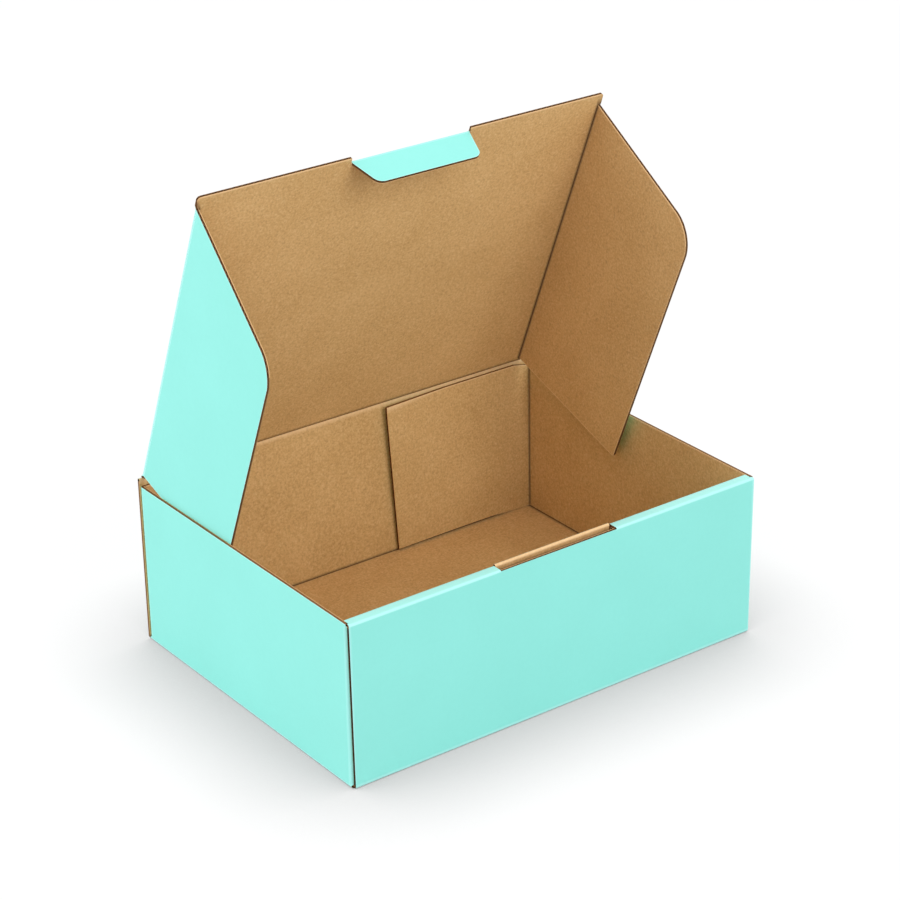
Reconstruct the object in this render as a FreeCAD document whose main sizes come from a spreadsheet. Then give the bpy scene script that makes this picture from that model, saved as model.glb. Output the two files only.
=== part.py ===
import FreeCAD, Part
import Sketcher
import math
import os

# A corrugated mailer box folded from one die-cut sheet of board, standing open.
# The origin is the centre of its footprint on the ground. The front faces -Y, the lid is hinged at the back.
# Lengths are in millimetres, angles in degrees.

SIZES = [
    ("board", 1.6, "thickness of the board"),
    ("box_length", 254.0, "outside, from side wall to side wall"),
    ("box_depth", 190.0, "outside, from front wall to back wall"),
    ("wall_height", 90.0, "ground to the top of the side and front walls"),
    ("layer_gap", 0.3, "between two layers of board that lie side by side"),
    ("fold_radius", 1.2, "outside radius of a fold in the tray"),
    ("front_inset", 0.6, "cut ends of the front panel, behind the side faces"),
    ("front_cavity", 3.2, "inside the double front wall"),
    ("front_flap_length", 86.0, "side wall flap held in the front wall"),
    ("rear_flap_length", 98.8, "right side wall's rear flap, at its top"),
    ("rear_flap_slant", 6.3, "how much shorter that flap is at its foot"),
    ("rear_flap_rise", 2.0, "how far that flap stands above the wall tops"),
    ("rear_flap_shoulder", 12.0, "side face to where that flap has its full height"),
    ("short_flap_length", 50.0, "left side wall's rear flap"),
    ("hinge_rise", 3.2, "lid fold above the wall tops"),
    ("lid_play", 5.5, "sideways room of the lid's ears in the tray"),
    ("lid_shift", -2.45, "lid beside the centre of the tray"),
    ("lid_setback", 0.2, "lid's front edge behind the front face, when closed"),
    ("lid_corner", 2.0, "radius of the lid's front corners"),
    ("lid_angle", 67.5, "lid above its level position, as it stands"),
    ("ear_floor_gap", 2.4, "closed ear above the base"),
    ("ear_front_gap", 0.8, "closed ear behind the inner front panel"),
    ("ear_back_gap", 0.5, "closed ear in front of the rear flap"),
    ("right_front_slant", 16.5, "right ear's front edge, further back at its foot"),
    ("left_front_slant", 36.0, "the same for the left ear"),
    ("left_ear_lift", 9.5, "how much shorter the left ear is than the right one"),
    ("ear_back_slant", 3.8, "an ear's back edge, further forward at its foot"),
    ("ear_corner", 19.0, "radius of an ear's front corner"),
    ("tab_width", 71.2, "lock tab at its fold"),
    ("tab_taper", 3.6, "lock tab narrower at its end, on each side"),
    ("tab_length", 17.3, "lock tab below the lid's inner face"),
    ("tab_corner", 4.5, "radius of the lock tab's corners"),
    ("tab_front_gap", 1.3, "closed tab behind the outer front panel"),
    ("tab_shift", -1.0, "tab and slot beside the centre of the tray"),
    ("slot_play", 1.2, "lock slot longer than the tab"),
]

# Sizes that follow from the ones above.
TIED = [
    ("half_length", "box_length / 2", "centre to a side face"),
    ("half_depth", "box_depth / 2", "centre to the front or back face"),
    ("strip_width", "board * 2 + front_cavity", "top strip of the front wall"),
    ("layer", "board + layer_gap", "a layer of board and the gap beside it"),
    ("hinge_height", "wall_height + hinge_rise", "ground to the axis of the lid's fold"),
    ("fold_start", "board / 2 + layer_gap", "axis of a hinged fold to the edge that turns about it"),
    ("lid_half", "( box_length - board * 2 - lid_play ) / 2", "half the lid's width, over both ears"),
    ("lid_length", "box_depth - board / 2 - lid_setback", "lid fold to the lid's front edge"),
    ("tab_reach", "box_depth - board * 2 - tab_front_gap", "lid fold to the tab's fold"),
    ("tab_half", "tab_width / 2", "half the tab's width at its fold"),
    ("slot_half", "tab_half + slot_play / 2", "half the lock slot's length"),
    ("ear_back", "board * 1.5 + layer_gap + ear_back_gap", "lid fold to an ear's back edge"),
    ("ear_front", "box_depth - board / 2 - strip_width - ear_front_gap", "lid fold to an ear's front edge"),
    ("right_ear_foot", "hinge_height - board - ear_floor_gap", "lid fold down to the right ear's foot, when closed"),
    ("left_ear_foot", "right_ear_foot - left_ear_lift", "the same for the left ear"),
]

ALIASES = [row[0] for row in SIZES + TIED]

doc = FreeCAD.newDocument("mailer_box")


def make_sheet():
    """Write the sizes in a spreadsheet, with an alias for each."""
    sheet = doc.addObject("Spreadsheet::Sheet", "sizes")
    rows = [(alias, str(value), note) for alias, value, note in SIZES]
    rows += [(alias, "=" + formula, note) for alias, formula, note in TIED]
    for number, (alias, content, note) in enumerate(rows, start=1):
        sheet.set("A%d" % number, note)
        sheet.set("B%d" % number, content)
        sheet.setAlias("B%d" % number, alias)
    doc.recompute()
    return sheet


sheet = make_sheet()


def size(alias):
    return float(sheet.get(alias))


def bound(formula):
    """The formula with each alias read from the spreadsheet. Its words stand apart, with spaces."""
    return " ".join("sizes." + word if word in ALIASES else word for word in formula.split())


def make_body(label):
    body = doc.addObject("PartDesign::Body", label)
    body.Label = label
    return body


def make_sketch(body, name, plane, offset):
    """An empty sketch on one of the body's own planes, moved off it along its normal."""
    sketch = body.newObject("Sketcher::SketchObject", name + "_outline")
    support = [item for item in body.Origin.OriginFeatures if item.Role == plane][0]
    sketch.AttachmentSupport = (support, [""])
    sketch.MapMode = "FlatFace"
    sketch.setExpression("AttachmentOffset.Base.z", bound(offset))
    return sketch


def hold_point(sketch, geometry, position, formulas):
    """Hold one point of a sketch at its two distances from the sketch's origin."""
    for kind, formula in zip(("DistanceX", "DistanceY"), formulas):
        index = sketch.addConstraint(Sketcher.Constraint(kind, -1, 1, geometry, position, 1.0 + geometry))
        sketch.setExpression("Constraints[%d]" % index, bound(formula))


def draw_polygon(sketch, corners):
    """A closed outline through corners that are given as formulas."""
    count = len(corners)
    spots = [FreeCAD.Vector(math.cos(2 * math.pi * i / count), math.sin(2 * math.pi * i / count), 0) * 50
             for i in range(count)]
    for i in range(count):
        sketch.addGeometry(Part.LineSegment(spots[i], spots[(i + 1) % count]), False)
    for i in range(count):
        sketch.addConstraint(Sketcher.Constraint("Coincident", i, 2, (i + 1) % count, 1))
    for i, formulas in enumerate(corners):
        hold_point(sketch, i, 1, formulas)


def add_panel(body, name, plane, offset, corners):
    """One flat panel of board, as thick as the board."""
    sketch = make_sketch(body, name, plane, offset)
    draw_polygon(sketch, corners)
    return add_pad(body, name, sketch, "board")


def add_pad(body, name, sketch, length):
    pad = body.newObject("PartDesign::Pad", name)
    pad.Profile = sketch
    pad.setExpression("Length", bound(length))
    doc.recompute()
    return pad


def add_bead(body, name, start, length, centre):
    """The round edge of a hinged fold, along X."""
    sketch = make_sketch(body, name, "YZ_Plane", start)
    sketch.addGeometry(Part.Circle(FreeCAD.Vector(0, 0, 0), FreeCAD.Vector(0, 0, 1), 1), False)
    radius = sketch.addConstraint(Sketcher.Constraint("Radius", 0, 1.0))
    sketch.setExpression("Constraints[%d]" % radius, bound("board / 2"))
    hold_point(sketch, 0, 3, centre)
    return add_pad(body, name, sketch, length)


def rectangle(left, bottom, right, top):
    return [(left, bottom), (right, bottom), (right, top), (left, top)]


def at(value, *targets):
    return any(abs(value - target) < 0.01 for target in targets)


def round_edges(body, name, radius, wanted):
    """Round the straight edges of the body so far whose two ends both pass the test."""
    base = body.Tip
    names = []
    for number, edge in enumerate(base.Shape.Edges, start=1):
        ends = [vertex.Point for vertex in edge.Vertexes]
        if len(ends) == 2 and isinstance(edge.Curve, Part.Line) and wanted(*ends):
            names.append("Edge%d" % number)
    fillet = body.newObject("PartDesign::Fillet", name)
    fillet.Base = (base, names)
    fillet.setExpression("Radius", bound(radius))
    doc.recompute()
    return fillet


def make_tray():
    """Base, walls, roll-over front and the side walls' flaps: what stays still."""
    body = make_body("tray")
    full = ("0 - half_length", "half_length")
    low, high = "layer", "wall_height"
    behind_side = "half_length - layer"

    add_panel(body, "base", "XY_Plane", "0", rectangle(full[0], "0 - half_depth", full[1], "half_depth"))
    add_panel(body, "back_wall", "XZ_Plane", "0 - half_depth", rectangle(full[0], "0", full[1], "hinge_height"))
    add_bead(body, "back_fold", full[0], "box_length", ("half_depth - board / 2", "hinge_height"))

    # The side walls stand between the front and back panels.
    side = rectangle("layer - half_depth", "0", "half_depth - layer", high)
    add_panel(body, "left_wall", "YZ_Plane", "0 - half_length", side)
    add_panel(body, "right_wall", "YZ_Plane", "half_length - board", side)

    # The front wall goes up outside, over a narrow strip, and down again inside.
    inner = ("0 - half_length + layer", behind_side)
    add_panel(body, "front_outer", "XZ_Plane", "half_depth - board",
              rectangle("front_inset - half_length", "0", "half_length - front_inset", high))
    add_panel(body, "front_strip", "XY_Plane", "wall_height - board",
              rectangle(inner[0], "0 - half_depth + board / 2", inner[1], "strip_width - half_depth"))
    add_panel(body, "front_inner", "XZ_Plane", "half_depth - strip_width", rectangle(inner[0], low, inner[1], high))

    # Flaps of the side walls: two held inside the front wall, two along the back wall.
    flap_top = "wall_height - layer"
    add_panel(body, "left_front_flap", "XZ_Plane", "half_depth - layer - board",
              rectangle("0 - half_length", low, "front_flap_length - half_length", flap_top))
    add_panel(body, "right_front_flap", "XZ_Plane", "half_depth - layer - board",
              rectangle("half_length - front_flap_length", low, "half_length", flap_top))
    add_panel(body, "left_rear_flap", "XZ_Plane", "layer - half_depth",
              rectangle("0 - half_length", low, "short_flap_length - half_length", high))
    add_panel(body, "right_rear_flap", "XZ_Plane", "layer - half_depth",
              [("half_length - rear_flap_length + rear_flap_slant", low), ("half_length", low),
               ("half_length", high), ("half_length - rear_flap_shoulder", "wall_height + rear_flap_rise"),
               ("half_length - rear_flap_length", "wall_height + rear_flap_rise")])

    round_tray(body)
    cut_slot(body)
    return body


def round_tray(body):
    """Round the outside of the folds: around the base, along the front strip and up the side walls' ends."""
    x, y, top = size("half_length"), size("half_depth"), size("wall_height")
    creases = (-y, size("strip_width") - y)
    corners = (size("layer") - y, y - size("layer"))

    def fold(one, two):
        foot = at(one.z, 0) and at(two.z, 0)
        front = at(one.z, top) and at(two.z, top) and at(one.y, *creases) and at(one.y, two.y)
        corner = at(abs(one.x), x) and at(one.x, two.x) and at(one.y, *corners) and at(one.y, two.y)
        return foot or front or corner

    round_edges(body, "folds", "fold_radius", fold)


def cut_slot(body):
    """The lock slot goes through the strip, between the two layers of the front wall."""
    sketch = make_sketch(body, "slot", "XY_Plane", "wall_height")
    draw_polygon(sketch, rectangle("tab_shift - slot_half", "board - half_depth",
                                   "tab_shift + slot_half", "strip_width - board - half_depth"))
    before = body.Tip.Shape.Volume
    pocket = body.newObject("PartDesign::Pocket", "slot")
    pocket.Profile = sketch
    pocket.setExpression("Length", bound("board"))
    doc.recompute()
    removed = before - body.Tip.Shape.Volume
    expected = 2 * size("slot_half") * size("front_cavity") * size("board")
    if abs(removed - expected) > 0.01 * expected:
        raise RuntimeError("the slot removes %.1f instead of %.1f" % (removed, expected))


# The lid, its ears and its tab are drawn level, as in the closed box, about the axis of the lid's fold.
# They are then turned about that axis to where the lid stands.
LID_LEFT, LID_RIGHT = "lid_shift - lid_half", "lid_shift + lid_half"


def open_up(body):
    body.Placement = FreeCAD.Placement(FreeCAD.Vector(0, 0, 0), FreeCAD.Rotation(FreeCAD.Vector(1, 0, 0), -60))
    body.setExpression("Placement.Base.y", bound("half_depth - board / 2"))
    body.setExpression("Placement.Base.z", bound("hinge_height"))
    body.setExpression("Placement.Rotation.Angle", bound("0 - lid_angle"))
    doc.recompute()


def make_lid():
    """The top panel, set back where the lock tab folds down."""
    body = make_body("lid")
    notch_left, notch_right = "tab_shift - slot_half", "tab_shift + slot_half"
    back, front, notch = "0 - fold_start", "0 - lid_length", "0 - tab_reach"
    add_panel(body, "top", "XY_Plane", "0 - board / 2",
              [(LID_LEFT, back), (LID_LEFT, front), (notch_left, front), (notch_left, notch),
               (notch_right, notch), (notch_right, front), (LID_RIGHT, front), (LID_RIGHT, back)])
    add_bead(body, "tab_fold", notch_left, "slot_half * 2", (notch, "0"))
    x = (size("lid_shift") - size("lid_half"), size("lid_shift") + size("lid_half"))
    y = -size("lid_length")
    round_edges(body, "front_corners", "lid_corner",
                lambda one, two: at(one.x, *x) and at(one.x, two.x) and at(one.y, y) and at(two.y, y))
    open_up(body)
    return body


def make_ear(side, face):
    """A side flap of the lid, from the given plane towards +X."""
    label = side + "_ear"
    body = make_body(label)
    fold, foot, slant = "0 - fold_start", "0 - " + side + "_ear_foot", side + "_front_slant"
    add_panel(body, label + "_panel", "YZ_Plane", face,
              [("0 - ear_back", fold), ("0 - ear_back - ear_back_slant", foot),
               (slant + " - ear_front", foot), ("0 - ear_front", fold)])
    y, z = size(slant) - size("ear_front"), -size(label + "_foot")
    round_edges(body, label + "_corner", "ear_corner",
                lambda one, two: at(one.y, y) and at(two.y, y) and at(one.z, z) and at(two.z, z))
    open_up(body)
    return body


def make_lock_tab():
    """The front tab of the lid, narrower towards its end."""
    body = make_body("lock_tab")
    fold, end = "0 - fold_start", "0 - board / 2 - tab_length"
    add_panel(body, "tab_panel", "XZ_Plane", "tab_reach - board / 2",
              [("tab_shift - tab_half", fold), ("tab_shift - tab_half + tab_taper", end),
               ("tab_shift + tab_half - tab_taper", end), ("tab_shift + tab_half", fold)])
    z = -size("board") / 2 - size("tab_length")
    round_edges(body, "tab_corners", "tab_corner",
                lambda one, two: at(one.z, z) and at(two.z, z) and at(one.x, two.x))
    open_up(body)
    return body


def check(bodies):
    """Stop on a failed object, or on a body that isn't one valid solid."""
    doc.recompute()
    for item in doc.Objects:
        if "Invalid" in item.State or "Error" in item.State:
            raise RuntimeError("%s failed" % item.Label)
    for body in bodies:
        shape = body.Shape
        if shape.isNull() or not shape.isValid() or len(shape.Solids) != 1:
            raise RuntimeError("%s isn't one valid solid" % body.Label)


def write(bodies):
    os.makedirs("parts", exist_ok=True)
    for body in bodies:
        body.Shape.exportStep("parts/%s.step" % body.Label)
        box = body.Shape.BoundBox
        print("%-10s x %.1f..%.1f  y %.1f..%.1f  z %.1f..%.1f  volume %.0f" % (
            body.Label, box.XMin, box.XMax, box.YMin, box.YMax, box.ZMin, box.ZMax, body.Shape.Volume))


bodies = [make_tray(), make_lid(), make_ear("left", LID_LEFT),
          make_ear("right", LID_RIGHT + " - board"), make_lock_tab()]
check(bodies)
write(bodies)
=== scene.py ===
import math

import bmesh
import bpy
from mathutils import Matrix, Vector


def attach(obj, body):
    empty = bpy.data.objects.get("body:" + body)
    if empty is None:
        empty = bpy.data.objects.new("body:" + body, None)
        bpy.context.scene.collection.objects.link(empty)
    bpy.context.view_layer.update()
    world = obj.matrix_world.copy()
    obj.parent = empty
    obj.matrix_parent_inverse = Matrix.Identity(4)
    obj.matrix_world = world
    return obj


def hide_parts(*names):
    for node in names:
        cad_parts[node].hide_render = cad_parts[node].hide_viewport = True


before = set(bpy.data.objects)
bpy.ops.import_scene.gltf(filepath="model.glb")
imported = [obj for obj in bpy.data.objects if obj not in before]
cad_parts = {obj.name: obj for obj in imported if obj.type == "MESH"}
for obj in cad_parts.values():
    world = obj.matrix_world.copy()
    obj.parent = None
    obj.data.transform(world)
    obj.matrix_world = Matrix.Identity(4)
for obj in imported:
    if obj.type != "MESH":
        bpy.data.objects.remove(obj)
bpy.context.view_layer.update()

# %% [markdown]
# # A corrugated mailer box, standing open
# The box is one die-cut sheet of corrugated board, printed on one side and left brown on the other.
# Blender never changes its size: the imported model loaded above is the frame, and each panel here is folded
# again from a thin sheet, so that it gets a printed side, a brown side and a cut edge with flutes in it.
# Lengths below are in millimetres, as on a box maker's drawing, and a piece is scaled to metres at its end.

# The board, and the gap between two layers of it that lie side by side.
BOARD, GAP = 1.6, 0.3
LAYER = BOARD + GAP
# From the centre to the side faces, and to the front and back faces, and the height of the walls.
HALF_X, HALF_Y, WALL = 127.0, 95.0, 90.0
# Where the side walls turn into their flaps, and the strip over the front wall with the panel inside it.
SIDE_FOLD, STRIP = HALF_Y - LAYER, 6.4
INNER_FRONT = STRIP - HALF_Y
# The axis of the lid's fold, how far the lid stands open, and how far from its axis a turning panel starts.
HINGE_Y, HINGE_Z, OPENING = 94.2, 93.2, 67.5
FOLD_START = BOARD / 2 + GAP
# Places on the closed lid, with y measured from that axis.
LID_LEFT, LID_RIGHT, LID_FRONT = -125.1, 120.2, 189.0
EAR_BACK, EAR_FRONT, TAB_FOLD = -3.2, -182.0, -185.5
SLOT_LEFT, SLOT_RIGHT = -37.2, 35.2

# %% [markdown]
# ## Camera
# A long lens far away keeps upright edges nearly parallel, as in a catalogue picture. The camera stands in
# front of the box, to its left and above it, and its numbers come from matching the corners of the box.

# %% Camera
camera_data = bpy.data.cameras.new("camera")
camera_data.sensor_width = 36.0
camera_data.lens = 112.256
camera_data.clip_end = 50.0
camera = bpy.data.objects.new("camera", camera_data)
camera.location = (-0.7607, -1.0493, 0.7240)
camera.rotation_euler = [math.radians(a) for a in (64.5673, 0.9364, -36.4865)]
bpy.context.scene.collection.objects.link(camera)
bpy.context.scene.camera = camera

# %% [markdown]
# ## Nodes in a few words
# A material is a small graph. Two helpers keep the graphs short enough to read: one adds a node and sets its
# numbers, the other joins an output to an input.

# %% Helpers for materials
def add(tree, kind, **values):
    """A new node, with its settings and the numbers of its sockets."""
    node = tree.nodes.new(kind)
    for key, value in values.items():
        if key in node.inputs:
            node.inputs[key].default_value = value
        else:
            setattr(node, key, value)
    return node


def math_node(tree, operation, first, second=None, third=None):
    """One step of arithmetic, on numbers or on outputs of other nodes."""
    node = tree.nodes.new("ShaderNodeMath")
    node.operation = operation
    for socket, value in zip(node.inputs, (first, second, third)):
        if isinstance(value, bpy.types.NodeSocket):
            tree.links.new(value, socket)
        elif value is not None:
            socket.default_value = value
    return node.outputs[0]


def mix_colours(tree, amount, one, two):
    """Goes from one colour to another as the amount goes from 0 to 1."""
    node = tree.nodes.new("ShaderNodeMix")
    node.data_type = "RGBA"
    for index, value in ((0, amount), (6, one), (7, two)):
        if isinstance(value, bpy.types.NodeSocket):
            tree.links.new(value, node.inputs[index])
        else:
            node.inputs[index].default_value = value
    return node.outputs[2]


def colour(red, green, blue):
    """A colour as read off a picture, 0 to 255, as the linear numbers that Blender works in."""
    linear = [(c / 255 / 12.92) if c < 10 else ((c / 255 + 0.055) / 1.055) ** 2.4 for c in (red, green, blue)]
    return (*linear, 1.0)


def new_material(name, roughness, **settings):
    """A material with its shader, and the tree that it lives in."""
    material = bpy.data.materials.new(name)
    material.use_nodes = True
    tree = material.node_tree
    shader = tree.nodes["Principled BSDF"]
    shader.inputs["Roughness"].default_value = roughness
    for key, value in settings.items():
        shader.inputs[key.replace("_", " ")].default_value = value
    return material, tree, shader


def speckle(tree, scale, detail=2.0, stretch=(1.0, 1.0, 1.0), rough=0.5):
    """Cloudy noise from 0 to 1 in the piece's own coordinates. The scale is in spots per metre."""
    place = add(tree, "ShaderNodeTexCoord").outputs["Object"]
    mapping = tree.nodes.new("ShaderNodeMapping")
    mapping.inputs["Scale"].default_value = stretch
    tree.links.new(place, mapping.inputs["Vector"])
    noise = add(tree, "ShaderNodeTexNoise", Scale=scale, Detail=detail, Roughness=rough)
    tree.links.new(mapping.outputs[0], noise.inputs["Vector"])
    return noise.outputs["Fac"]


def board_place(tree):
    """How far across the flutes a point lies, in millimetres, and how deep in the board, from 0 to 1."""
    uv = add(tree, "ShaderNodeUVMap", uv_map="board").outputs[0]
    split = tree.nodes.new("ShaderNodeSeparateXYZ")
    tree.links.new(uv, split.inputs[0])
    return split.outputs[0], split.outputs[1]


def marks(tree):
    """Two masks that are stored on the mesh. The first is 1 on a crease, which gets a painted highlight on the
    printed side and a painted shade on the brown side. The second is 1 at the rim of a panel, which gets a painted
    highlight, and on a cut edge it tells how dark the channel along the flutes is: at 1 the whole cut is painted
    dark as shade."""
    uv = add(tree, "ShaderNodeUVMap", uv_map="marks").outputs[0]
    split = tree.nodes.new("ShaderNodeSeparateXYZ")
    tree.links.new(uv, split.inputs[0])
    return split.outputs[0], split.outputs[1]


def set_bump(tree, shader, height, strength, distance):
    bump = add(tree, "ShaderNodeBump", Strength=strength, Distance=distance)
    tree.links.new(height, bump.inputs["Height"])
    tree.links.new(bump.outputs[0], shader.inputs["Normal"])


# %% [markdown]
# ## The printed side
# The outside is printed in one flat turquoise, with a dull varnish. It isn't dead flat: the ink takes a little
# unevenly on the rough liner, and the flutes under it show as very faint ribs. On the folds and along the cut
# outline the colour is lifted towards a pale turquoise, as a painted highlight.

# %% Printed side
FLUTE = 3.4
printed, tree, shader = new_material("printed_side", 0.42, Specular_IOR_Level=0.5)
crease, rim = marks(tree)
across, _ = board_place(tree)
ink = mix_colours(tree, speckle(tree, 22.0, 3.0), colour(144, 232, 221), colour(151, 240, 230))
ink = mix_colours(tree, math_node(tree, "MULTIPLY", speckle(tree, 420.0, 3.0), 0.30), ink, colour(136, 226, 215))
# Painted highlight: the folds and the rim of the outline are mixed towards a pale turquoise.
fold_highlight = math_node(tree, "MULTIPLY", math_node(tree, "POWER", crease, 3.0), 0.65)
ink = mix_colours(tree, fold_highlight, ink, colour(192, 254, 250))
ink = mix_colours(tree, math_node(tree, "MULTIPLY", rim, 0.65), ink, colour(192, 254, 250))
tree.links.new(ink, shader.inputs["Base Color"])
ribs = math_node(tree, "SINE", math_node(tree, "MULTIPLY", across, 2 * math.pi / FLUTE))
height = math_node(tree, "MULTIPLY_ADD", ribs, 0.06, speckle(tree, 900.0, 3.0))
set_bump(tree, shader, height, 0.10, 0.0002)

# %% [markdown]
# ## The brown side
# The inside is bare kraft liner: long brown fibres pressed into paper, a little lighter here and darker there.
# Noises at several scales give it that: clouds some centimetres wide, fine light and dark grain, and short
# fibres. The flutes press through as soft ribs. The rim of the outline is painted lighter, as a highlight, and a
# crease is painted darker, as the shade in its fold.

# %% Brown side
kraft, tree, shader = new_material("brown_side", 0.85, Specular_IOR_Level=0.2)
crease, rim = marks(tree)
across, _ = board_place(tree)
clouds = mix_colours(tree, speckle(tree, 30.0, 4.0, rough=0.5), colour(203, 160, 102), colour(225, 184, 127))
spots = math_node(tree, "MULTIPLY", math_node(tree, "SUBTRACT", speckle(tree, 850.0, 2.0, rough=0.7), 0.5), 1.15)
paper = mix_colours(tree, math_node(tree, "MAXIMUM", spots, 0.0), clouds, colour(255, 232, 184))
paper = mix_colours(tree, math_node(tree, "MAXIMUM", math_node(tree, "MULTIPLY", spots, -1.0), 0.0),
                    paper, colour(120, 80, 42))
fibres = math_node(tree, "GREATER_THAN", speckle(tree, 1100.0, 1.0, (1.0, 0.3, 0.3)), 0.68)
paper = mix_colours(tree, math_node(tree, "MULTIPLY", fibres, 0.12), paper, colour(130, 90, 50))
# Painted highlight along the rim, then painted shade in the creases.
paper = mix_colours(tree, math_node(tree, "MULTIPLY", rim, 0.7), paper, colour(250, 214, 166))
crease_shade = math_node(tree, "MULTIPLY", math_node(tree, "POWER", crease, 1.3), 0.85)
paper = mix_colours(tree, crease_shade, paper, colour(66, 40, 20))
tree.links.new(paper, shader.inputs["Base Color"])
ribs = math_node(tree, "SINE", math_node(tree, "MULTIPLY", across, 2 * math.pi / FLUTE))
height = math_node(tree, "MULTIPLY_ADD", ribs, 0.10, speckle(tree, 1100.0, 3.0))
set_bump(tree, shader, height, 0.25, 0.0003)

# %% [markdown]
# ## The cut edge
# A cut through the board shows two thin liners with a wavy paper between them. Across the flutes the wave
# shows as a row of small dark holes. Along them the cut opens one long dark channel. Both come from one
# pattern, because the mesh stores how far across the flutes each point lies and how deep in the board. The
# inner liner is paler, partly its own lighter paper and partly a painted highlight, and a cut marked 1 is painted
# dark all over, as the shade of the narrow gap where it lies.

# %% Cut edge
cut_edge, tree, shader = new_material("cut_edge", 0.9, Specular_IOR_Level=0.1)
across, depth = board_place(tree)
_, channel_and_shade = marks(tree)
wave = math_node(tree, "SINE", math_node(tree, "MULTIPLY", across, 2 * math.pi / FLUTE))
middle = math_node(tree, "MULTIPLY_ADD", wave, 0.26, 0.45)
off_wave = math_node(tree, "ABSOLUTE", math_node(tree, "SUBTRACT", depth, middle))
holes = math_node(tree, "MULTIPLY", math_node(tree, "GREATER_THAN", off_wave, 0.10),
                  math_node(tree, "LESS_THAN", channel_and_shade, 0.01))
inside = math_node(tree, "MULTIPLY", math_node(tree, "GREATER_THAN", depth, 0.10),
                   math_node(tree, "LESS_THAN", depth, 0.72))
hollow = math_node(tree, "MULTIPLY", math_node(tree, "MAXIMUM", holes, channel_and_shade), inside)
# A cut marked 1 is painted dark all over: painted shade of a narrow gap.
hollow = math_node(tree, "MAXIMUM", hollow, math_node(tree, "GREATER_THAN", channel_and_shade, 0.95))
paper = mix_colours(tree, speckle(tree, 1800.0, 2.0), colour(118, 80, 46), colour(160, 118, 76))
# The inner liner is lifted pale: its own lighter paper, with a painted highlight on top.
liner_and_highlight = math_node(tree, "MULTIPLY", math_node(tree, "GREATER_THAN", depth, 0.80),
                   math_node(tree, "SUBTRACT", 1.0, channel_and_shade))
liner = mix_colours(tree, liner_and_highlight, paper, colour(232, 190, 138))
edge = mix_colours(tree, math_node(tree, "MULTIPLY", hollow, 0.92), liner, colour(40, 24, 14))
tree.links.new(edge, shader.inputs["Base Color"])
set_bump(tree, shader, speckle(tree, 2200.0, 2.0), 0.4, 0.0003)

FINISHES = (printed, kraft, cut_edge)
print("finishes:", [m.name for m in FINISHES])

# %% [markdown]
# ## Folding board
# Each part of the box starts as one flat face, which is the printed skin of a panel. New panels grow from its
# outer edges, as the real sheet is folded along its creases. Bevels then make the folds round, and a Solidify
# modifier gives the skin the thickness of the board on its brown side, with a rim of its own for the cuts.
# Modelling the finished walls as boxes would be quicker, but boxes have no folds that run from one to the next.

# %% Helpers for folding
def blank_board():
    """An empty mesh with the two maps that the materials read."""
    bm = bmesh.new()
    bm.loops.layers.uv.new("board")
    bm.loops.layers.uv.new("marks")
    return bm


def start_sheet(corners):
    """One flat face. Its corners run anticlockwise as seen from the printed side."""
    bm = blank_board()
    bm.faces.new([bm.verts.new(corner) for corner in corners])
    return bm


def near(value, target):
    return abs(value - target) < 0.02


def cut_across(bm, axis, value, keep=lambda centre: True):
    """Cut the faces whose centre passes the test, along the plane where x, y or z has the value."""
    normal, point = Vector((0, 0, 0)), Vector((0, 0, 0))
    normal[axis], point[axis] = 1.0, value
    faces = [f for f in bm.faces if keep(f.calc_center_median())]
    edges = {e for f in faces for e in f.edges}
    verts = {v for f in faces for v in f.verts}
    bmesh.ops.bisect_plane(bm, geom=[*verts, *edges, *faces], dist=1e-4, plane_co=point, plane_no=normal)


def grow(bm, test, step):
    """Fold up a new panel from the outer edges whose two ends pass the test. Gives its far corners."""
    edges = [e for e in bm.edges if e.is_boundary and all(test(v.co) for v in e.verts)]
    made = bmesh.ops.extrude_edge_only(bm, edges=edges)["geom"]
    corners = [g for g in made if isinstance(g, bmesh.types.BMVert)]
    bmesh.ops.translate(bm, verts=corners, vec=step)
    return corners


def round_fold(bm, test, radius, amount=1.0, segments=5):
    """Make round the folds whose two ends pass the test, and mark their faces for the painted highlight and shade
    of a crease.
    """
    marks_layer = bm.loops.layers.uv["marks"]
    edges = [e for e in bm.edges if not e.is_boundary and all(test(v.co) for v in e.verts)]
    made = bmesh.ops.bevel(bm, geom=edges, offset=radius, offset_type="OFFSET", affect="EDGES",
                           segments=segments, profile=0.5, material=-1, clamp_overlap=True)
    for vert in {v for f in made["faces"] for v in f.verts}:
        for loop in vert.link_loops:
            loop[marks_layer].uv = (amount, 0.0)


def round_corner(bm, test, radius, segments=6):
    """Round corners of the outline, as the die cuts them."""
    corners = [v for v in bm.verts if v.is_boundary and test(v.co)]
    bmesh.ops.bevel(bm, geom=corners, offset=radius, offset_type="OFFSET", affect="VERTICES",
                    segments=segments, profile=0.5, material=-1, clamp_overlap=True)


def mark_crease(bm, test, amount=1.0):
    """Mark corners of panels as creased, for a painted highlight on the printed side and a painted shade on the
    brown side. The mark fades out towards the next corners.
    """
    for vert in bm.verts:
        if test(vert.co):
            for loop in vert.link_loops:
                loop[bm.loops.layers.uv["marks"]].uv = (amount, 0.0)


def mark_rim(bm, test):
    """Mark corners on the outline, where the die has pressed the board; the colour there gets a painted highlight.
    """
    layer = bm.loops.layers.uv["marks"]
    for vert in bm.verts:
        if vert.is_boundary and test(vert.co):
            for loop in vert.link_loops:
                loop[layer].uv = (loop[layer].uv.x, 1.0)


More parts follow.
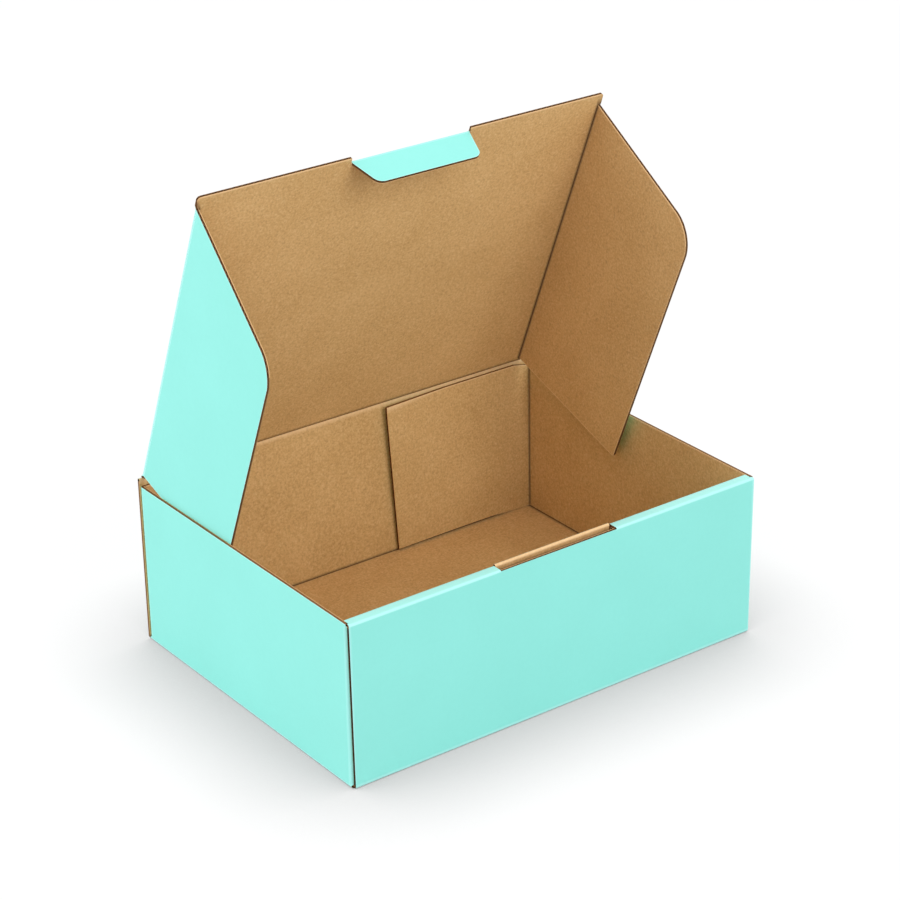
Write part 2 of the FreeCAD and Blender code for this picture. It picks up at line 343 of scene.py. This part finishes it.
def edge_band(bm, width=0.7):
    """A narrow band of faces along the whole outline of a flat sheet, marked as its rim for a painted highlight."""
    layer = bm.loops.layers.uv["marks"]
    made = bmesh.ops.inset_region(bm, faces=bm.faces[:], thickness=width, use_boundary=True,
                                  use_even_offset=True, use_interpolate=True)
    for face in made["faces"]:
        for loop in face.loops:
            if loop.vert.is_boundary:
                loop[layer].uv = (loop[layer].uv.x, 1.0)


def write_flutes(bm, axis):
    """Store how far across the flutes each corner lies. The flutes run at right angles to the axis."""
    layer = bm.loops.layers.uv["board"]
    for face in bm.faces:
        for loop in face.loops:
            loop[layer].uv = (loop.vert.co[axis], 0.0)


# %% [markdown]
# ## From skin to board
# Solidify writes the brown skin after the printed one, so a corner's number tells how deep it lies. That depth
# goes into the same map that holds the place across the flutes, where the cut edge looks it up.

# %% Helpers for finishing
LID_PLACE = Matrix.Translation((0, HINGE_Y, HINGE_Z)) @ Matrix.Rotation(math.radians(-OPENING), 4, "X")
TO_METRES = Matrix.Scale(0.001, 4)


def thicken(name, bm, place, opening_and_shade=lambda centre: 0.6):
    """Give a folded skin the thickness of the board, put it in its place and return its mesh. The last argument
    gives how dark a cut along the flutes is, by where it lies: a low value darkens the middle of the cut a little,
    and 1 paints the whole cut dark, as the shade of a narrow gap."""
    bm.normal_update()
    count = len(bm.verts)
    skin = bpy.data.meshes.new(name + "_skin")
    bm.to_mesh(skin)
    bm.free()
    scratch = bpy.data.objects.new(name + "_skin", skin)
    bpy.context.scene.collection.objects.link(scratch)
    board = scratch.modifiers.new("board", "SOLIDIFY")
    board.thickness, board.offset = BOARD, -1.0
    board.use_even_offset = True
    board.material_offset, board.material_offset_rim = 1, 2
    for finish in FINISHES:
        skin.materials.append(finish)
    solid = bpy.data.meshes.new_from_object(scratch.evaluated_get(bpy.context.evaluated_depsgraph_get()))
    bpy.data.objects.remove(scratch)
    layer, other = solid.uv_layers["board"].uv, solid.uv_layers["marks"].uv
    for loop in solid.loops:
        if loop.vertex_index >= count:
            layer[loop.index].vector = (layer[loop.index].vector[0], 1.0)
    for face in solid.polygons:
        if face.material_index == 2:
            places = [layer[i].vector[0] for i in face.loop_indices]
            corners = [solid.vertices[i].co for i in face.vertices]
            length = max((a - b).length for a in corners for b in corners)
            along = length > 2.0 and max(places) - min(places) < 0.3 * length
            for i in face.loop_indices:
                other[i].vector = (0.0, opening_and_shade(face.center) if along else 0.0)
    solid.transform(TO_METRES @ place)
    return solid


def place_solid(name, bm, place):
    """The mesh of a solid that was drawn as it is, put in its place."""
    mesh = bpy.data.meshes.new(name)
    bm.to_mesh(mesh)
    bm.free()
    mesh.transform(TO_METRES @ place)
    return mesh


def join(name, meshes):
    """One mesh out of several, with the three finishes."""
    bm = bmesh.new()
    for mesh in meshes:
        bm.from_mesh(mesh)
    joined = bpy.data.meshes.new(name)
    bm.to_mesh(joined)
    bm.free()
    for finish in FINISHES:
        joined.materials.append(finish)
    return joined


def finish_piece(name, mesh, node, body):
    """Show the mesh in place of the plain node, moving with its body."""
    mesh.shade_smooth()
    mesh.set_sharp_from_angle(angle=math.radians(31))
    piece = bpy.data.objects.new(name, mesh)
    bpy.context.scene.collection.objects.link(piece)
    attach(piece, body)
    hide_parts(node)
    print("%s: %d faces" % (name, len(mesh.polygons)))
    return piece


# %% [markdown]
# ## Round folds that turn
# The lid and its tab swing on a crease, where the real board bends. A round bead along the axis of the crease
# fills the corner at every angle: it is printed on its outer half and brown on its inner half.

# %% Bead of a crease
def bead(name, start, end, y, z, printed_way, radius=BOARD / 2, place=Matrix()):
    """A closed round bar along X. Its faces that look the printed way are printed, the others are brown."""
    bm = blank_board()
    board, marked = bm.loops.layers.uv["board"], bm.loops.layers.uv["marks"]
    turn = Matrix.Translation(((start + end) / 2, y, z)) @ Matrix.Rotation(math.radians(90), 4, "Y")
    bmesh.ops.create_cone(bm, cap_ends=True, segments=24, radius1=radius, radius2=radius, depth=end - start,
                          matrix=turn)
    bm.normal_update()
    for face in bm.faces:
        face.material_index = 2 if abs(face.normal.x) > 0.9 else 0 if face.normal.dot(Vector(printed_way)) > 0 else 1
        for loop in face.loops:
            loop[board].uv = (loop.vert.co.x, 0.15 if face.material_index == 2 else 0.5)
            # Painted highlight: the printed half gets a faint crease mark and the brown half a rim mark; the ends a
            # darker channel.
            loop[marked].uv = (0.6, 0.0) if face.material_index == 0 else (0.0, 0.8)
    return place_solid(name, bm, place)


# %% [markdown]
# ## The tray: base, back and roll-over front
# The base is one panel with the back wall and the front wall folded up from it. The front wall goes on over
# the top as a narrow strip and down again inside, and its printed side stays outermost all the way.

# %% Base, back and front
# The radius of the folds over the front wall and of all the others. The numbers near 125 are the ends of the
# panels, each a little behind the side faces, so that the next panel can pass.
FRONT_FOLD, FOLD = 0.9, 1.7
BASE_END = 125.3
spine = start_sheet([(-BASE_END, HALF_Y, 0), (BASE_END, HALF_Y, 0), (BASE_END, -HALF_Y, 0), (-BASE_END, -HALF_Y, 0)])
for y in (-SIDE_FOLD, SIDE_FOLD):
    cut_across(spine, 1, y)
for v in spine.verts:
    if near(abs(v.co.y), HALF_Y):
        v.co.x = math.copysign(127.0 if v.co.y > 0 else 125.6, v.co.x)
grow(spine, lambda p: near(p.y, HALF_Y), (0, 0, HINGE_Z))
for v in grow(spine, lambda p: near(p.y, -HALF_Y) and near(p.z, 0), (0, 0, WALL)):
    v.co.x = math.copysign(126.4, v.co.x)
for v in grow(spine, lambda p: near(p.y, -HALF_Y) and near(p.z, WALL), (0, STRIP, 0)):
    v.co.x = math.copysign(125.1, v.co.x)
grow(spine, lambda p: near(p.y, INNER_FRONT) and near(p.z, WALL), (0, 0, LAYER - WALL))
# Cuts beside the folds, where the mark of a crease has faded out.
for axis, value, where in ((1, -HALF_Y + 3.4, lambda c: near(c.z, 0)), (1, HALF_Y - 3.4, lambda c: near(c.z, 0)),
                           (2, 3.4, lambda c: abs(c.y) > 94), (2, HINGE_Z - 2.4, lambda c: c.y > 94),
                           (0, -123.0, lambda c: near(c.z, 0)), (0, 123.0, lambda c: near(c.z, 0)),
                           (2, WALL - FRONT_FOLD - 0.9, lambda c: c.y < -94),
                           (1, -HALF_Y + FRONT_FOLD + 0.6, lambda c: near(c.z, WALL) and c.y < INNER_FRONT),
                           (0, -124.9, lambda c: c.y < -94), (0, 124.9, lambda c: c.y < -94)):
    cut_across(spine, axis, value, where)
round_fold(spine, lambda p: near(abs(p.y), HALF_Y) and near(p.z, 0), FOLD)
round_fold(spine, lambda p: near(p.y, -HALF_Y) and near(p.z, WALL), FRONT_FOLD)
round_fold(spine, lambda p: near(p.y, INNER_FRONT) and near(p.z, WALL), FRONT_FOLD, 0.9)
# These marks paint a highlight on the printed side and shade on the brown side of the creases, and a highlight on
# the rims.
mark_rim(spine, lambda p: near(p.y, HALF_Y) and near(p.z, HINGE_Z))
mark_crease(spine, lambda p: near(p.z, 0) and abs(p.x) > 125.2 and abs(p.y) < 93)
mark_crease(spine, lambda p: near(p.z, WALL) and near(p.y, -HALF_Y + FRONT_FOLD + 0.6), 0.9)
mark_rim(spine, lambda p: p.y < -94.9 and p.z > 2 and abs(p.x) > 125)

# %% [markdown]
# ## The lock slot
# The tab of the lid goes into a slot that is cut out of the strip, folds and all. The outer panel ends there
# in a cut edge, and the inner panel springs up a little where nothing holds it, as the brown band in the slot.
# Near its right end the inner panel is cut lower, and a small dark hole stays open.

# %% Lock slot
def in_front(centre):
    return centre.y < -88 and centre.z > 2


def in_slot(point, margin=0.0):
    return SLOT_LEFT + margin < point.x < SLOT_RIGHT - margin


# Where the inner panel ends in the slot, how high the outer panel is cut off there, and the foot of the hole.
INNER_END, SLOT_TOP, HOLE_FOOT = 34.2, 89.4, 86.5
for x in (SLOT_LEFT, SLOT_LEFT + 0.7, INNER_END, SLOT_RIGHT - 0.7, SLOT_RIGHT):
    cut_across(spine, 0, x, in_front)
cut_across(spine, 2, SLOT_TOP, in_front)
cut_across(spine, 2, HOLE_FOOT, lambda c: in_front(c) and c.y > -92)
gone = [f for f in spine.faces if in_front(f.calc_center_median()) and f.calc_center_median().z > SLOT_TOP
        and in_slot(f.calc_center_median())]
gone += [f for f in spine.faces if -90 < f.calc_center_median().y < -88 and f.calc_center_median().z > HOLE_FOOT
         and INNER_END < f.calc_center_median().x < SLOT_RIGHT]
bmesh.ops.delete(spine, geom=list(set(gone)), context="FACES")
for v in spine.verts:
    if in_slot(v.co, 0.1) and v.co.z > HOLE_FOOT + 0.1:
        v.co.y = -HALF_Y if v.co.y < -92 else INNER_FRONT
        for loop in v.link_loops:
            loop[spine.loops.layers.uv["marks"]].uv = (0.0, 0.0)
write_flutes(spine, 0)
print("base, back and front: %d faces in the skin" % len(spine.faces))

# %% [markdown]
# ## The tray: side walls and their flaps
# A side wall carries a flap at each end. The front ones are shut in the double front wall, the rear ones lie
# along the back wall, and the right one is long enough to be seen. Both sides come from one function, with
# the left one as drawn and the right one mirrored by its sign.

# %% Side walls
FRONT_FLAP, LONG_FLAP = 86.0, 60.0


def side_wall(sign, rear_top, rear_foot, rise, stand_off):
    """A side wall with its flaps. The sign is -1 for the left and 1 for the right. The rise is how far the
    rear flap stands above the wall, and the stand-off is how far its free end springs off the back wall.
    The foot of a long rear flap doesn't reach the base."""
    x = sign * HALF_X
    corners = [(x, SIDE_FOLD, 0), (x, -SIDE_FOLD, 0), (x, -SIDE_FOLD, WALL), (x, SIDE_FOLD, WALL)]
    bm = start_sheet(corners if sign < 0 else corners[::-1])
    cut_across(bm, 2, LAYER)
    cut_across(bm, 2, WALL - LAYER)
    grow(bm, lambda p: near(p.z, 0), (-sign * 1.75, 0, 0))
    grow(bm, lambda p: near(p.y, -SIDE_FOLD) and 1.8 < p.z < 88.2, (-sign * FRONT_FLAP, 0, 0))
    for v in grow(bm, lambda p: near(p.y, SIDE_FOLD) and p.z > 1.8, (-sign * rear_top, 0, 0)):
        v.co.x += sign * (rear_top - rear_foot) * (WALL - v.co.z) / (WALL - LAYER)
    for axis, value, where in ((2, 3.6, lambda c: near(c.x, x)), (1, SIDE_FOLD - 3.2, lambda c: near(c.x, x)),
                               (1, -SIDE_FOLD + 2.3, lambda c: near(c.x, x)),
                               (0, x - sign * 3.2, lambda c: abs(c.y) > 93),
                               (0, x - sign * 12.0, lambda c: c.y > 93), (0, x - sign * 30.0, lambda c: c.y > 93),
                               (0, x - sign * LONG_FLAP, lambda c: c.y > 93), (2, WALL - 0.8, lambda c: True)):
        cut_across(bm, axis, value, where)
    # The marks of the folds below paint a highlight on the printed side and shade on the brown side, and the rim at
    # the top a highlight.
    round_fold(bm, lambda p: near(p.x, x) and near(p.z, 0), FOLD)
    round_fold(bm, lambda p: near(p.x, x) and near(abs(p.y), SIDE_FOLD) and p.z > 1.8, FOLD, 0.8)
    for v in bm.verts:
        reach = abs(v.co.x - x)
        if near(v.co.y, SIDE_FOLD) and rear_top > LONG_FLAP:
            if near(v.co.z, LAYER) and reach > 20.0:
                v.co.z += 1.2
            far = max(0.0, (reach - LONG_FLAP) / (rear_top - LONG_FLAP))
            v.co.y -= stand_off * far * far * (0.35 + 0.65 * v.co.z / WALL)
        if v.co.y > 88 and v.co.z > WALL - 1.0 and reach > 4.0:
            v.co.z += rise * min(1.0, (reach - 3.2) / 8.8)
    mark_rim(bm, lambda p: p.z > WALL - 0.1)
    write_flutes(bm, 2)
    return bm


left_wall = side_wall(-1, 50.0, 50.0, 0.0, 0.0)
right_wall = side_wall(1, 101.0, 94.0, 2.0, 2.2)

# %% [markdown]
# ## The tray in one mesh
# The folded skins get their thickness, and join with the bead of the lid's fold and the band in the slot.

# %% Tray
tray_mesh = join("tray_board", [
    # The cuts along the flutes at the sides of the front wall are painted dark all over, as shade in the seam.
    thicken("spine", spine, Matrix(), lambda centre: 1.0 if centre.y < -92 else 0.4),
    thicken("left_wall", left_wall, Matrix(), lambda centre: 0.25),
    thicken("right_wall", right_wall, Matrix(), lambda centre: 0.25),
    bead("back_fold", -127.0, 127.0, HINGE_Y, HINGE_Z, (0, 1, 0)),
    bead("slot_rim", SLOT_LEFT + 0.2, INNER_END, -89.4, 89.8, (0, 1, -0.3), radius=0.95),
])
finish_piece("tray_board", tray_mesh, "tray", "tray_body")

# %% [markdown]
# ## The lid
# The lid is drawn level, as on the closed box, with its hinge along X and its printed side up, and is then
# turned about the hinge to where it stands. A narrow flange folds down along each side, where the real board
# runs on into the side flaps. The front edge is cut, and set back in the middle for the fold of the lock tab.

# %% Lid
# The lid's printed face is half a board above the axis of its fold.
TOP = BOARD / 2
lid = start_sheet([(LID_LEFT, -FOLD_START, TOP), (LID_LEFT, -LID_FRONT, TOP), (SLOT_LEFT, -LID_FRONT, TOP),
                   (SLOT_LEFT, TAB_FOLD, TOP), (SLOT_RIGHT, TAB_FOLD, TOP), (SLOT_RIGHT, -LID_FRONT, TOP),
                   (LID_RIGHT, -LID_FRONT, TOP), (LID_RIGHT, -FOLD_START, TOP)])
round_corner(lid, lambda p: near(p.y, -LID_FRONT) and p.x < -120, 1.9)
round_corner(lid, lambda p: near(p.y, -LID_FRONT) and p.x > 115, 1.2, 4)
for y in (EAR_BACK, EAR_FRONT, 0.9 - LID_FRONT):
    cut_across(lid, 1, y)


def at_side(point):
    return near(point.x, LID_LEFT) or near(point.x, LID_RIGHT)


grow(lid, lambda p: at_side(p) and EAR_FRONT - 0.1 < p.y < EAR_BACK + 0.1, (0, 0, -1.86))
for x in (LID_LEFT + 3.4, LID_RIGHT - 3.4):
    cut_across(lid, 0, x)
# The folds and creases below get a painted highlight on the printed side and painted shade on the brown side, and
# the rim of the front edge a painted highlight.
round_fold(lid, lambda p: at_side(p) and near(p.z, TOP), 1.65)
mark_crease(lid, lambda p: at_side(p) and p.z < 0)
mark_crease(lid, lambda p: near(p.y, -FOLD_START))
mark_rim(lid, lambda p: near(p.y, -LID_FRONT))
write_flutes(lid, 0)


def slab(name, low, high, place):
    """A closed box from its lowest to its highest corner, printed on top and brown below."""
    bm = blank_board()
    board = bm.loops.layers.uv["board"]
    size = [b - a for a, b in zip(low, high)]
    centre = Matrix.Translation([(a + b) / 2 for a, b in zip(low, high)])
    bmesh.ops.create_cube(bm, size=1.0, matrix=centre @ Matrix.Diagonal((*size, 1.0)))
    bm.normal_update()
    for face in bm.faces:
        face.material_index = 0 if face.normal.z > 0.5 else 1 if face.normal.z < -0.5 else 2
        for loop in face.loops:
            depth = 0.1 if loop.vert.co.z > centre.translation.z else 0.5
            loop[board].uv = (loop.vert.co.x, depth)
    return place_solid(name, bm, place)


lid_mesh = join("lid_board", [
    thicken("lid", lid, LID_PLACE),
    bead("tab_fold", SLOT_LEFT, SLOT_RIGHT, TAB_FOLD, 0.0, (0, -0.5, 0.8), place=LID_PLACE),
    slab("hinge_neck", (LID_LEFT + 0.2, -2.0, -0.45), (LID_RIGHT - 0.2, -0.1, 0.45), LID_PLACE),
])
finish_piece("lid_board", lid_mesh, "lid", "lid_body")

# %% [markdown]
# ## The side flaps of the lid
# Each flap hangs at right angles from the side of the lid and goes down inside the tray when the box is shut.
# Its outline is a few corners, and one of them is rounded widely so that it slides past the front wall.

# %% Side flaps
EAR_BACK_FOOT, EAR_CORNER = -7.0, 19.0


def ear(name, face, sign, front_foot, foot):
    """A flap of the lid, with its printed side on the plane x = face."""
    corners = [(face, EAR_BACK, -FOLD_START), (face, EAR_BACK_FOOT, -foot), (face, -front_foot, -foot),
               (face, EAR_FRONT, -FOLD_START)]
    bm = start_sheet(corners if sign < 0 else corners[::-1])
    round_corner(bm, lambda p: near(p.y, -front_foot) and near(p.z, -foot), EAR_CORNER * CORNER_SPAN[name], 14)
    round_corner(bm, lambda p: near(p.y, EAR_BACK_FOOT) and near(p.z, -foot), 1.2, 3)
    cut_across(bm, 2, -2.3)
    # The crease mark at the fold paints a highlight on the printed side and shade on the brown side, and the band
    # along the outline a highlight.
    mark_crease(bm, lambda p: near(p.z, -FOLD_START))
    edge_band(bm)
    write_flutes(bm, 2)
    return thicken(name, bm, LID_PLACE)


def corner_span(front_foot, foot):
    """From an ear's corner to where a round of radius 1 begins: the tangent of half the turn there."""
    slant = math.atan2(-EAR_FRONT - front_foot, foot - FOLD_START)
    return math.tan((math.pi / 2 - slant) / 2)


# How far forward and how far down the foot of each ear reaches, from the axis of the lid's fold.
EARS = {"left_ear": (146.0, 79.7), "right_ear": (165.5, 89.2)}
CORNER_SPAN = {name: corner_span(*place) for name, place in EARS.items()}
finish_piece("left_ear_board", join("left_ear_board", [ear("left_ear", LID_LEFT, -1, *EARS["left_ear"])]),
             "left_ear", "left_ear_body")
finish_piece("right_ear_board", join("right_ear_board", [ear("right_ear", LID_RIGHT, 1, *EARS["right_ear"])]),
             "right_ear", "right_ear_body")

# %% [markdown]
# ## The lock tab
# The tab folds down from the middle of the lid's front edge and shows its printed side. It starts at the axis
# of its fold, inside the bead there, so that no gap opens when it is bent.

# %% Lock tab
TAB_LEFT, TAB_RIGHT, TAB_END = -36.6, 34.6, -18.1
TAB_FACE, TAB_SLANT, TAB_TOP = TAB_FOLD - BOARD / 2, 4.6, -0.05
tab = start_sheet([(TAB_LEFT, TAB_FACE, TAB_TOP), (TAB_LEFT, TAB_FACE, -FOLD_START),
                   (TAB_LEFT + TAB_SLANT, TAB_FACE, TAB_END), (TAB_RIGHT - TAB_SLANT, TAB_FACE, TAB_END),
                   (TAB_RIGHT, TAB_FACE, -FOLD_START), (TAB_RIGHT, TAB_FACE, TAB_TOP)])
round_corner(tab, lambda p: near(p.z, TAB_END), 3.8, 8)
# The band along the outline gets a painted highlight.
edge_band(tab)
write_flutes(tab, 0)
finish_piece("lock_tab_board", join("lock_tab_board", [thicken("lock_tab", tab, LID_PLACE)]),
             "lock_tab", "lock_tab_body")

# %% [markdown]
# ## Floor and backdrop
# The floor is a wide pale plane. To the box it is a grey floor that throws back half of the light. To the
# camera it glows by itself and catches a little of the lamps' light, and its glow is dimmed where something stands
# near, as a painted shadow. The world behind it is white, and is also the even light of that studio.

# %% Floor
floor_bm = bmesh.new()
bmesh.ops.create_grid(floor_bm, x_segments=1, y_segments=1, size=12.0)
floor_mesh = bpy.data.meshes.new("floor")
floor_bm.to_mesh(floor_mesh)
floor_bm.free()
floor = bpy.data.objects.new("floor", floor_mesh)
bpy.context.scene.collection.objects.link(floor)
pale, tree, shader = new_material("pale_floor", 0.9, Specular_IOR_Level=0.0)
BOUNCE, SEEN, GLOW, SHADE, REACH = 0.50, 0.14, 0.70, 0.16, 0.072
shader.inputs["Base Color"].default_value = (BOUNCE, BOUNCE, BOUNCE, 1.0)
dull = add(tree, "ShaderNodeBsdfDiffuse", Color=(SEEN, SEEN, SEEN, 1.0))
# Painted shadow: the floor's glow is dimmed by how near other things stand.
painted_shadow_occlusion = add(tree, "ShaderNodeAmbientOcclusion", Distance=REACH, samples=2)
glow = tree.nodes.new("ShaderNodeEmission")
tree.links.new(math_node(tree, "MULTIPLY_ADD", painted_shadow_occlusion.outputs["AO"], GLOW, SHADE), glow.inputs["Strength"])
both = tree.nodes.new("ShaderNodeAddShader")
path = tree.nodes.new("ShaderNodeLightPath")
seen = tree.nodes.new("ShaderNodeMixShader")
tree.links.new(dull.outputs[0], both.inputs[0])
tree.links.new(glow.outputs[0], both.inputs[1])
tree.links.new(path.outputs["Is Camera Ray"], seen.inputs[0])
tree.links.new(shader.outputs[0], seen.inputs[1])
tree.links.new(both.outputs[0], seen.inputs[2])
tree.links.new(seen.outputs[0], tree.nodes["Material Output"].inputs["Surface"])
floor_mesh.materials.append(pale)

# %% World
world = bpy.data.worlds.new("studio")
bpy.context.scene.world = world
world.use_nodes = True
background = world.node_tree.nodes["Background"]
background.inputs["Color"].default_value = (1.0, 1.0, 1.0, 1.0)
background.inputs["Strength"].default_value = 1.0

# %% [markdown]
# ## Light
# Most of the light comes from the white world around the box. One soft lamp above and to the right of the
# camera, and one low on the left and a little behind, give the faces their slight differences.

# %% Lamps
def soft_lamp(name, place, target, size, power):
    """A square lamp at a place, looking at a point."""
    data = bpy.data.lights.new(name, "AREA")
    data.size, data.energy = size, power
    lamp = bpy.data.objects.new(name, data)
    lamp.location = place
    lamp.rotation_euler = (Vector(target) - Vector(place)).to_track_quat("-Z", "Y").to_euler()
    bpy.context.scene.collection.objects.link(lamp)
    return lamp


soft_lamp("key", (0.38, -2.13, 1.35), (0, 0, 0.1), 1.2, 17.0)
soft_lamp("side", (-2.32, 0.84, 0.53), (0, 0, 0.1), 0.8, 21.0)
bpy.context.scene.view_settings.view_transform = "Standard"
